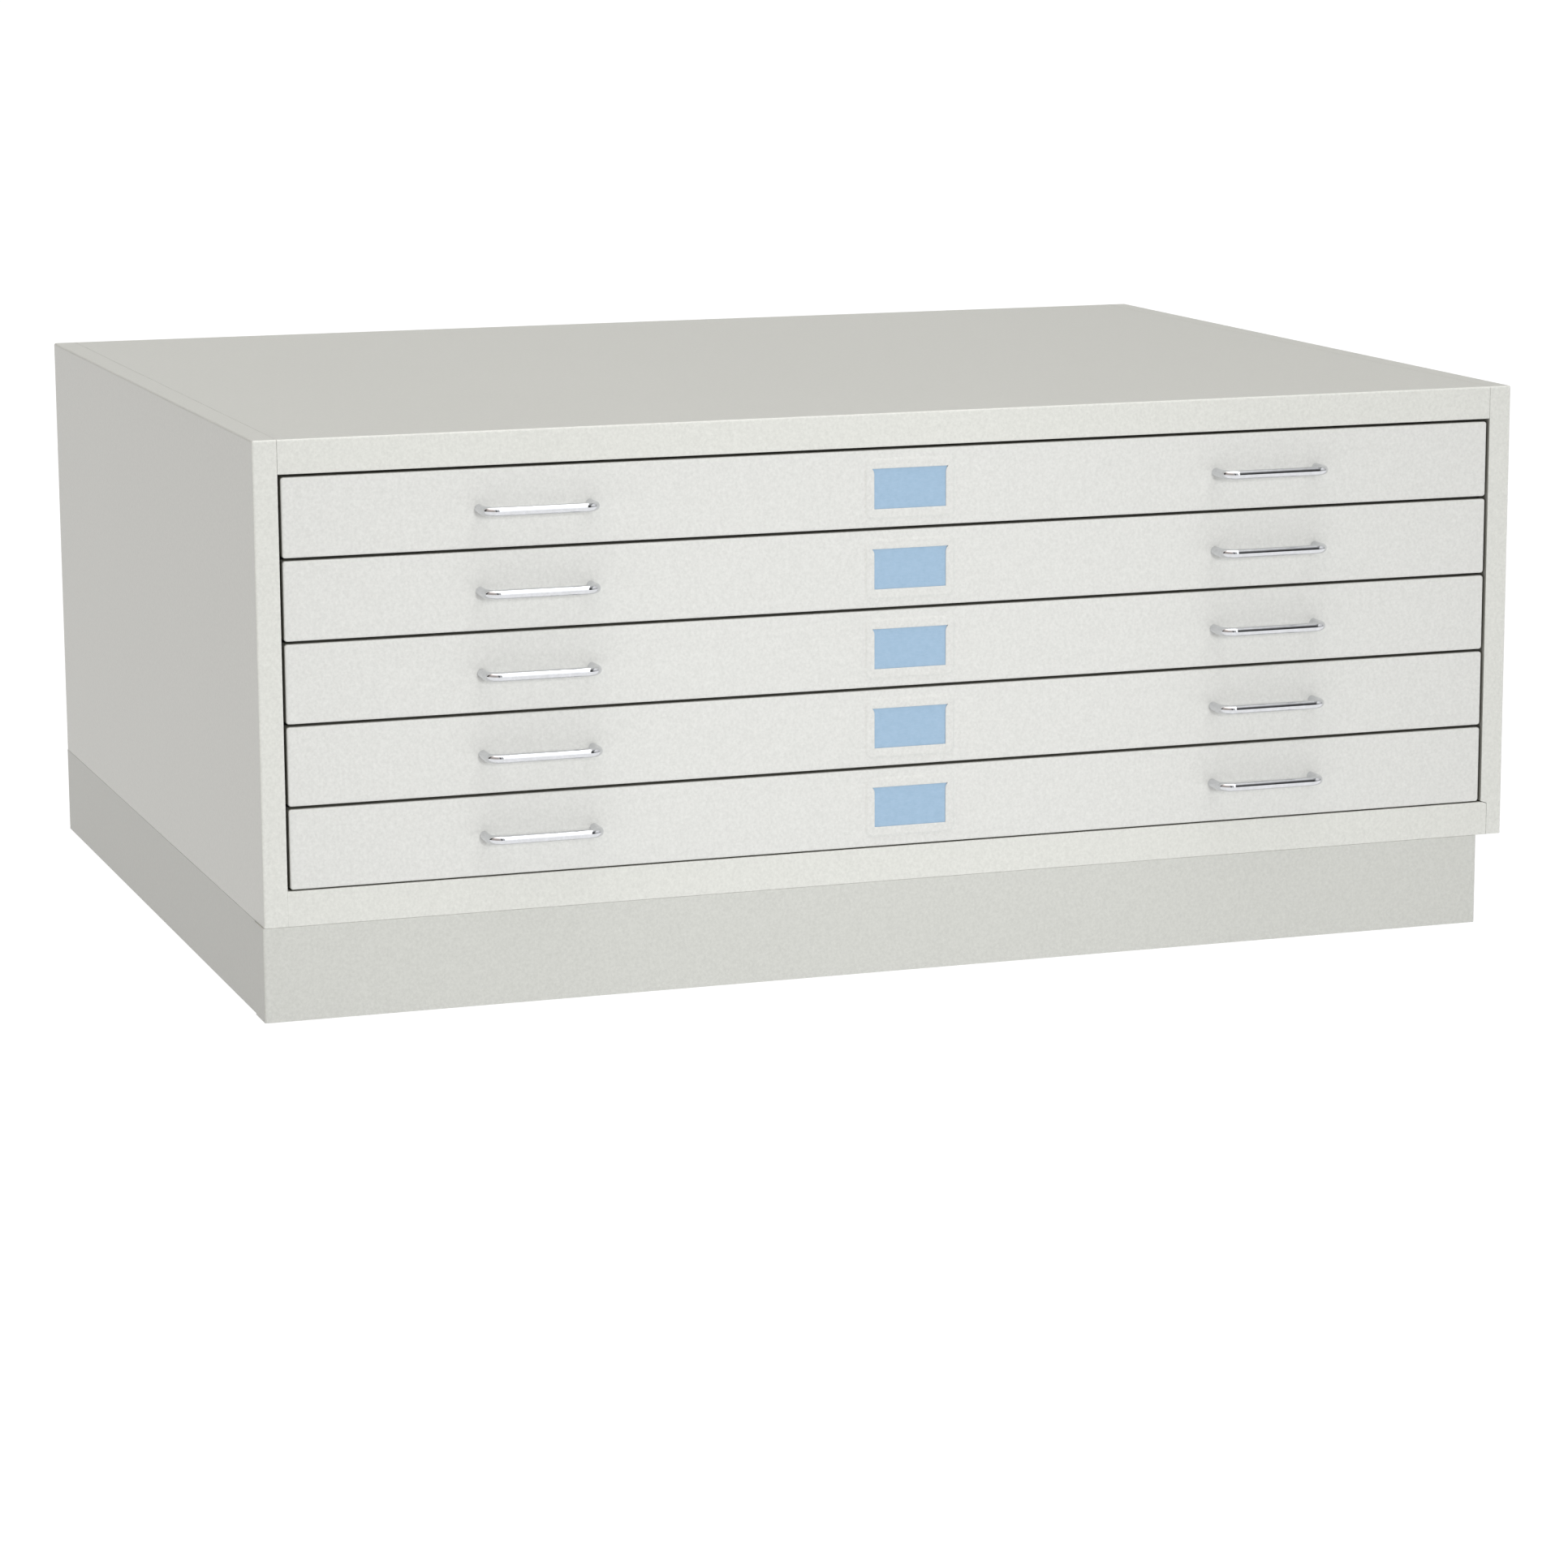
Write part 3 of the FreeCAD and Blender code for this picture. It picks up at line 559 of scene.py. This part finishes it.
def tapped_end(x, seat, height, across):
    """Circles from the bottom of a tapped hole out to its rim."""
    return [
        circle(Vector((x, seat - depth, height)), across, TAPPED_RADIUS)
        for depth in (TAPPED_DEPTH, 0.0)
    ]


def inner_post(cad_node):
    """X of the post nearer the middle, from the CAD pull itself."""
    nearest = min(abs(vertex.co.x) for vertex in frame["nodes"][cad_node].data.vertices)
    return nearest + WIRE_RADIUS


def drawer_pulls(number):
    """The two bent wire pulls of a drawer."""
    cad_node = f"drawer_{number}_handles"
    low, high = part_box(cad_node)
    height = (low.z + high.z) / 2
    bar = low.y + WIRE_RADIUS
    seat = high.y
    outer = high.x - WIRE_RADIUS
    inner = inner_post(cad_node)
    rightwards = Vector((1, 0, 0))
    bm = bmesh.new()
    for left, right in ((-outer, -inner), (inner, outer)):
        rings = tapped_end(left, seat, height, rightwards)
        rings += wire_rings(left, right, seat, bar, height)
        rings += tapped_end(right, seat, height, -rightwards)[::-1]
        loft(bm, rings)
    piece(f"drawer_{number}_pulls", finished_mesh(bm, cad_node), f"drawer_{number}", cad_node, "chrome")


# ------------------------------------------------------------------ cards

def drawer_card(number):
    """A thin card, bowed a little in its pocket."""
    cad_node = f"drawer_{number}_label_card"
    low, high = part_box(cad_node)
    middle = (low + high) / 2
    half_width = high.x - middle.x
    half_height = high.z - middle.z
    bm = bmesh.new()
    bmesh.ops.create_grid(bm, x_segments=CARD_COLUMNS, y_segments=CARD_ROWS, size=1)
    for vertex in bm.verts:
        along, up = vertex.co.x, vertex.co.y
        bow = CARD_BOW * math.cos(along * math.pi / 2) * math.cos(up * math.pi / 4)
        vertex.co = (middle.x + along * half_width, middle.y - bow, middle.z + up * half_height)
    mesh = finished_mesh(bm, cad_node)
    made = piece(f"drawer_{number}_card", mesh, f"drawer_{number}", cad_node, "card")
    thick = made.modifiers.new("sheet", "SOLIDIFY")
    thick.thickness = CARD_SHEET
    thick.offset = 0


# ------------------------------------------------------------------ rollers

def roller_profile(radius):
    """(share of the width from the middle, radius) round a roller's section: tyre, web and hub."""
    tyre = radius - TYRE_THICKNESS
    hub = ROLLER_BORE + HUB_THICKNESS
    half = [
        (0.44, ROLLER_BORE), (0.48, ROLLER_BORE + 0.3 * MM), (0.48, hub - 0.3 * MM), (0.44, hub),
        (0.28, hub + 0.4 * MM), (0.26, hub + 0.9 * MM), (0.26, tyre - 0.9 * MM), (0.28, tyre - 0.4 * MM),
        (0.43, tyre), (0.49, tyre + 0.3 * MM), (0.50, tyre + 0.7 * MM), (0.50, radius - 0.9 * MM),
        (0.48, radius - 0.4 * MM), (0.44, radius - 0.1 * MM), (0.38, radius),
    ]
    return half + [(-across, out) for across, out in reversed(half)]


def rollers(cad_node, body):
    """A pair of moulded rollers on one axis."""
    low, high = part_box(cad_node)
    axis_y = (low.y + high.y) / 2
    axis_z = (low.z + high.z) / 2
    radius = (high.z - low.z) / 2
    turns = full_turns(ROLLER_SIDES)
    bm = bmesh.new()
    for centre in (low.x + ROLLER_WIDTH / 2, high.x - ROLLER_WIDTH / 2):
        loops = []
        for across, out in roller_profile(radius):
            x = centre + across * ROLLER_WIDTH
            loops.append([(x, axis_y + out * math.cos(t), axis_z + out * math.sin(t)) for t in turns])
        loft(bm, loops, ring_closed=True)
    piece(f"{cad_node}_moulded", finished_mesh(bm, cad_node, SHARP_ROLLER_TURN), body, cad_node, "roller")


# ------------------------------------------------------------------ light tent

def rising(tree, value, limits):
    """Goes smoothly from 0 to 1 between two limits."""
    return ranged(tree, value, 0.0, 1.0, *limits, interpolation_type="SMOOTHSTEP")


def falling(tree, value, limits):
    """Goes smoothly from 1 to 0 between two limits."""
    return ranged(tree, value, 1.0, 0.0, *limits, interpolation_type="SMOOTHSTEP")


def maths(tree, operation, *values):
    return node(tree, "ShaderNodeMath", list(enumerate(values)), operation=operation).outputs[0]


def chained(tree, operation, terms):
    total = terms[0]
    for term in terms[1:]:
        total = maths(tree, operation, total, term)
    return total


def product(tree, *factors):
    return chained(tree, "MULTIPLY", factors)


def positive(tree, value):
    return maths(tree, "MAXIMUM", value, 0.0)


def complement(tree, value):
    """1 less a value."""
    return maths(tree, "SUBTRACT", 1.0, value)


def band(tree, value, rise, fall):
    """1 between two soft limits and 0 outside them."""
    return product(tree, rising(tree, value, rise), falling(tree, value, fall))


def wall_light(tree, x, z, ahead):
    """The dim wall on the left, with a dark slit in it."""
    low = product(tree, band(tree, z, WALL_FOOT, WALL_TOP), rising(tree, ahead, WALL_AHEAD))
    slit = band(tree, x, SLIT_LEFT, SLIT_RIGHT)
    return product(tree, falling(tree, x, WALL_END), low, complement(tree, slit), WALL_LIGHT)


def strip_light(tree, x, z, ahead):
    """The bright strip in front that the pulls mirror."""
    in_front = product(tree, rising(tree, ahead, STRIP_AHEAD), falling(tree, z, STRIP_TOP))
    return product(tree, band(tree, x, STRIP_LEFT, STRIP_RIGHT), in_front, STRIP_LIGHT)


def right_light(tree, way):
    """A broad soft light on the right."""
    facing = node(tree, "ShaderNodeVectorMath", [(0, way), (1, RIGHT_WAY)], operation="DOT_PRODUCT")
    lobe = maths(tree, "POWER", positive(tree, facing.outputs["Value"]), RIGHT_FOCUS)
    return product(tree, lobe, RIGHT_LIGHT)


def tent_brightness(tree, way):
    """The light tent: soft light from every side and overhead, less what a flag in front keeps off."""
    parts = node(tree, "ShaderNodeSeparateXYZ", [(0, way)]).outputs
    x, y, z = parts["X"], parts["Y"], parts["Z"]
    ahead = positive(tree, product(tree, y, -1.0))
    lights = [
        wall_light(tree, x, z, ahead),
        strip_light(tree, x, z, ahead),
        product(tree, maths(tree, "POWER", positive(tree, z), TOP_FOCUS), TOP_LIGHT),
        right_light(tree, way),
        product(tree, rising(tree, y, BACK_LIMITS), BACK_LIGHT),
        DIM_LIGHT,
    ]
    flag = product(tree, band(tree, x, FLAG_LEFT, FLAG_RIGHT), FLAG_SHADE)
    return product(tree, chained(tree, "ADD", lights), complement(tree, flag))


def studio_world():
    """Light from a tent round the cabinet, and plain white where the camera looks past it."""
    world = bpy.data.worlds.new("studio")
    bpy.context.scene.world = world
    world.use_nodes = True
    tree = world.node_tree
    tree.nodes.clear()
    way = node(tree, "ShaderNodeTexCoord").outputs["Generated"]
    x = node(tree, "ShaderNodeSeparateXYZ", [(0, way)]).outputs["X"]
    tint = mixed(tree, falling(tree, x, WARM_LIMITS), WHITE, WARM_LEFT)
    values = [("Color", tint), ("Strength", tent_brightness(tree, way))]
    lit = node(tree, "ShaderNodeBackground", values)
    plain = node(tree, "ShaderNodeBackground", [("Color", WHITE), ("Strength", BACKDROP_GLOW)])
    seen = node(tree, "ShaderNodeLightPath").outputs["Is Camera Ray"]
    both = node(tree, "ShaderNodeMixShader", [(0, seen), (1, lit.outputs[0]), (2, plain.outputs[0])])
    node(tree, "ShaderNodeOutputWorld", [("Surface", both.outputs[0])])


# ------------------------------------------------------------------ floor, soft box and camera

def floor_material():
    """A white sweep, lit until only the faintest shadow is left on it."""
    material = bpy.data.materials.new("white_sweep")
    material.use_nodes = True
    tree = material.node_tree
    tree.nodes.clear()
    matte = node(tree, "ShaderNodeBsdfDiffuse", [("Color", FLOOR_GREY)])
    glow = node(tree, "ShaderNodeEmission", [("Color", WHITE), ("Strength", FLOOR_GLOW)])
    total = node(tree, "ShaderNodeAddShader", [(0, matte.outputs[0]), (1, glow.outputs[0])])
    node(tree, "ShaderNodeOutputMaterial", [("Surface", total.outputs[0])])
    return material


def studio_floor():
    """A plain round floor, far larger than the cabinet."""
    mesh = bpy.data.meshes.new("floor")
    bm = bmesh.new()
    bmesh.ops.create_circle(bm, cap_ends=True, segments=FLOOR_SIDES, radius=FLOOR_RADIUS)
    bm.to_mesh(mesh)
    bm.free()
    mesh.materials.append(floor_material())
    floor = bpy.data.objects.new("studio_floor", mesh)
    bpy.context.scene.collection.objects.link(floor)


def soft_box():
    """A distant area light turned towards the face, with a grid that narrows its beam."""
    light = bpy.data.lights.new("front_soft_box", "AREA")
    light.shape = "SQUARE"
    light.size = SOFT_BOX_SIZE
    light.energy = SOFT_BOX_WATTS
    light.spread = math.radians(SOFT_BOX_BEAM)
    lamp = bpy.data.objects.new("front_soft_box", light)
    lamp.location = SOFT_BOX_PLACE
    way = Vector(SOFT_BOX_TARGET) - Vector(SOFT_BOX_PLACE)
    lamp.rotation_euler = way.to_track_quat("-Z", "Y").to_euler()
    lamp.visible_camera = False
    lamp.visible_glossy = False
    bpy.context.scene.collection.objects.link(lamp)


def studio_camera():
    """The camera, low in front and to the left, with a long lens."""
    camera = bpy.data.objects.new("camera", bpy.data.cameras.new("camera"))
    camera.location = CAMERA_PLACE
    camera.rotation_euler = [math.radians(angle) for angle in CAMERA_TURN]
    camera.data.lens = CAMERA_LENS
    camera.data.sensor_width = CAMERA_SENSOR
    bpy.context.scene.collection.objects.link(camera)
    bpy.context.scene.camera = camera


# ------------------------------------------------------------------ the whole scene


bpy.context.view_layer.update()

for part in frame["record"]["subparts"]:
    shown = frame["nodes"][part["node"]]
    shown.material_slots[0].material = FINISHES[part["material_slot"]]

for number in DRAWERS:
    drawer_front(number)
    drawer_pulls(number)
    drawer_card(number)
    rollers(f"drawer_{number}_rear_rollers", f"rear_rollers_{number}")
    rollers(f"drawer_{number}_front_rollers", f"front_rollers_{number}")

studio_camera()
studio_world()
studio_floor()
soft_box()
bpy.context.scene.view_settings.view_transform = "Standard"
